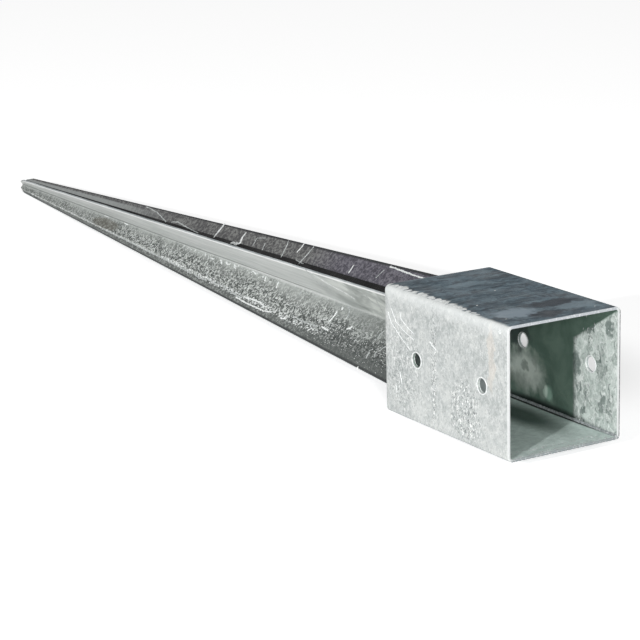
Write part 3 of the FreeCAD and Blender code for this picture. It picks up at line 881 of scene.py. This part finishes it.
lower_fin_lines = (
    (((284, 19.8), (283, 12.6), (284, 8.9)), 1.5),
    (((280, 5.9), (280, 5.0)), 2.0),
    (((267, 12.5), (267, 8.5), (270, 4.4), (276, 1.9)), 1.2),
    (((215, 17.5), (216, 14.0), (214, 10.6)), 1.1),
    (((203, 26.5), (201, 22.4), (197, 18.5)), 1.1),
    (((212, 35.8), (214, 28.7)), 1.1),
    (((204, 32.7), (206, 28.4)), 1.0),
    (((257, 19.8), (253, 16.8)), 1.8),
    (((214, 45.0), (213, 46.0)), 1.6),
    (((489, 17.9), (476, 23.7), (462, 24.7), (449, 23.8), (432, 26.9), (417, 27.6)), 1.2),
    (((412, 26.3), (399, 25.4), (386, 25.3), (376, 28.0)), 1.4),
    (((332, 26.0), (320, 27.0), (306, 27.4), (293, 26.2)), 1.2),
    (((503, 23.6), (492, 25.3), (480, 24.6)), 1.1),
    (((422, 28.9), (403, 30.5), (388, 30.8), (373, 31.2), (362, 29.4)), 1.4),
    (((346, 31.7), (338, 30.6)), 1.4),
    (((288, 25.7), (278, 26.2)), 1.5),
    (((703, 14.2), (650, 16.9), (598, 19.5), (551, 21.3), (510, 24.0)), 0.9),
    (((497, 4.4), (491, 4.3)), 1.4), (((481, 2.9), (475, 6.0)), 1.5), (((471, 3.0), (466, 4.9)), 1.5),
    (((458, 2.2), (453, 4.1)), 1.5), (((451, 1.5), (450, 2.2)), 1.3), (((426, 2.1), (419, 3.7)), 1.6),
    (((403, 3.1), (400, 6.7)), 1.6), (((382, 3.5), (379, 9.0)), 1.4), (((344, 3.5), (343, 7.3)), 1.2),
    (((709, 1.8), (701, 1.8)), 1.3), (((683, 1.2), (681, 1.4)), 1.0), (((667, 1.8), (660, 2.6)), 1.3),
    (((642, 4.8), (640, 5.0)), 1.2),
)
left_fin_lines = (
    (((290, 44.0), (294, 24.1), (280, 23.3)), 0.8),
    (((287, 42.0), (270, 29.1), (254, 23.7), (246, 18.7)), 1.3),
    (((211, 35.4), (214, 28.0), (210, 24.3)), 1.0),
    (((200, 32.5), (217, 7.3)), 0.8),
    (((517, 27.6), (517, 28.2)), 1.2),
)
thick_run = 1.25
left_of_right_sheet = (Vector((1, 0, 1)).normalized(), Vector((-1, 0, 1)).normalized(), 1.17 * MM)
lower_left_fin = (Vector((-1, 0, -1)).normalized(), Vector((-1, 0, 1)).normalized(), 0.83 * MM)
upper_left_fin = (Vector((-1, 0, 1)).normalized(), Vector((-1, 0, -1)).normalized(), 0.83 * MM)
bright_runs_and_glints, dull_runs_and_glints = [], []
for lines, (fin, out, lift), height in (
    (upper_fin_glint_lines, left_of_right_sheet, 0.3 * MM),
    (lower_fin_lines, lower_left_fin, 0.35 * MM),
    (left_fin_lines, upper_left_fin, 0.2 * MM),
):
    for line, width in lines:
        points = [fin * (u * MM) + out * lift + Vector((0, y * MM, 0)) for y, u in line]
        (bright_runs_and_glints if width > thick_run else dull_runs_and_glints).extend(run_of_drops(points, out, width * MM, height))
runs_and_glints = lay_drops("bright_runs_on_fins", bright_runs_and_glints)
melt_together(runs_and_glints, melted_grain)
finish_piece(runs_and_glints, bright_zinc, "spike_sheet")
thin_runs_and_glints = lay_drops("dull_runs_on_fins", dull_runs_and_glints)
melt_together(thin_runs_and_glints, melted_grain)
finish_piece(thin_runs_and_glints, dull_zinc, "spike_sheet")

# Specks of zinc. These small drops froze apart, thick along the drip line near the lower left fin's edge and
# sparse on the rest of that fin.
taper = 0.0545
fin, out, lift = lower_left_fin
turn = Matrix((Vector((0, 1, 0)), out.cross(Vector((0, 1, 0))), out)).transposed().to_4x4()
fin_specks = []
for count, nearest, farthest, share_low, share_high, size in (
    (330, 285, 570, 0.66, 0.84, 0.95), (170, 540, 870, 0.70, 0.82, 0.75),
    (420, 190, 660, 0.25, 0.72, 0.6), (80, 375, 560, 0.04, 0.2, 0.8), (330, 155, 300, 0.3, 0.97, 0.5),
):
    for k in range(count):
        y = chance.uniform(nearest, farthest)
        u = chance.triangular(share_low, share_high) * (root_reach / MM - taper * (y - spike_root / MM))
        spot = fin * (u * MM) + out * lift + Vector((0, y * MM, 0))
        half = size * chance.uniform(0.4, 1.0) * MM
        slant = Matrix.Rotation(chance.uniform(-0.9, 0.9), 4, "Z")
        half_sizes = (half * chance.uniform(1.0, 2.0), half * 0.6, half * 0.4)
        fin_specks.append(one_drop(spot, turn @ slant, half_sizes))
speckled = lay_drops("zinc_specks_on_fin", fin_specks, roundness=1)
finish_piece(speckled, bright_zinc, "spike_sheet")


# Weld beads. Each is a row of overlapping round drops, as a hand weld leaves them, and the dipping has coated
# it with zinc. The seam weld closes the socket's corner, and the others hold the seat plate and the sheets.
bead_grain = 0.45 * MM
weld_zinc = plain_zinc("hot_dip_zinc_on_welds", 2.0, "#7C8284", "#B4B9BA", 0.4, 0.6)


def row_of_ripples(start, end, half_width, pitch):
    """Round drops from start to end, each a little off in place and size."""
    count = max(1, round((end - start).length / pitch))
    return [Matrix.Translation(start + (end - start) * k / count
                               + Vector([chance.uniform(-0.08, 0.08) * half_width for axis in range(3)]))
            @ Matrix.Scale(half_width * chance.uniform(0.88, 1.0), 4) for k in range(count + 1)]


def lay_bead(name, ripples, *nodes):
    """Melt a weld's ripples to one bead that stands for its nodes."""
    bead = lay_drops(name, ripples)
    melt_together(bead, bead_grain)
    finish_piece(bead, weld_zinc, "weld", *nodes)


ripples = []
for corner, start, end, half, pitch in (
    (socket_half - 1.2 * MM, 0.8 * MM, 149.2 * MM, 1.25 * MM, 1.1 * MM),
    (socket_half - socket_wall - 0.2 * MM, 1.2 * MM, 135 * MM, 1.5 * MM, 1.3 * MM),
):
    ripples += row_of_ripples(Vector((corner, start, -corner)), Vector((corner, end, -corner)), half, pitch)
lay_bead("seam_bead", ripples, "seam_weld")

seat_back = spike_root
ring_half = 44.3 * MM
ripple_pitch = 1.8 * MM
root_bead_length = 41
ring_corners = [Vector((x * ring_half, seat_back + 1.2 * MM, z * ring_half))
                for x, z in ((-1, -1), (1, -1), (1, 1), (-1, 1), (-1, -1))]
ripples = []
for start, end in zip(ring_corners, ring_corners[1:]):
    ripples += row_of_ripples(start, end, 1.7 * MM, ripple_pitch)
lay_bead("seat_bead", ripples, "seat_weld")

ripples = []
for side in (-1, 1):
    for up in (-1, 1):
        fin = Vector((side, 0, up)).normalized()
        beside_fin = Vector((side, 0, -up)).normalized()
        first = beside_fin * 1.7 * MM + fin * 3 * MM + Vector((0, seat_back + 1.1 * MM, 0))
        ripples += row_of_ripples(first, first + fin * root_bead_length * MM, 1.9 * MM, ripple_pitch)
lay_bead("root_beads", ripples, "root_weld_left", "root_weld_right")

stitch_count = 5
first_stitch = 192
stitch_spacing = 168.25
half_stitch = Vector((0, 13 * MM, 0))
ripples = []
for up in (-1, 1):
    for k in range(stitch_count):
        middle = Vector((0, (first_stitch + stitch_spacing * k) * MM, up * 3.1 * MM))
        ripples += row_of_ripples(middle - half_stitch, middle + half_stitch, 2.2 * MM, 2.0 * MM)
lay_bead("stitch_beads", ripples, *(name for name in frame["nodes"] if name.startswith("stitch_weld")))

# Seat plate. A flat 3 mm steel plate closes the socket behind the post and is welded in all round. It keeps
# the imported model's shape, and gets its zinc coat here.
seat_zinc = plain_zinc("hot_dip_zinc_on_seat", 16, "#8B9294", "#B9BEBF", 0.5, 0.66)
seat = frame["nodes"]["post_seat"]
seat.data.materials.clear()
seat.data.materials.append(seat_zinc)
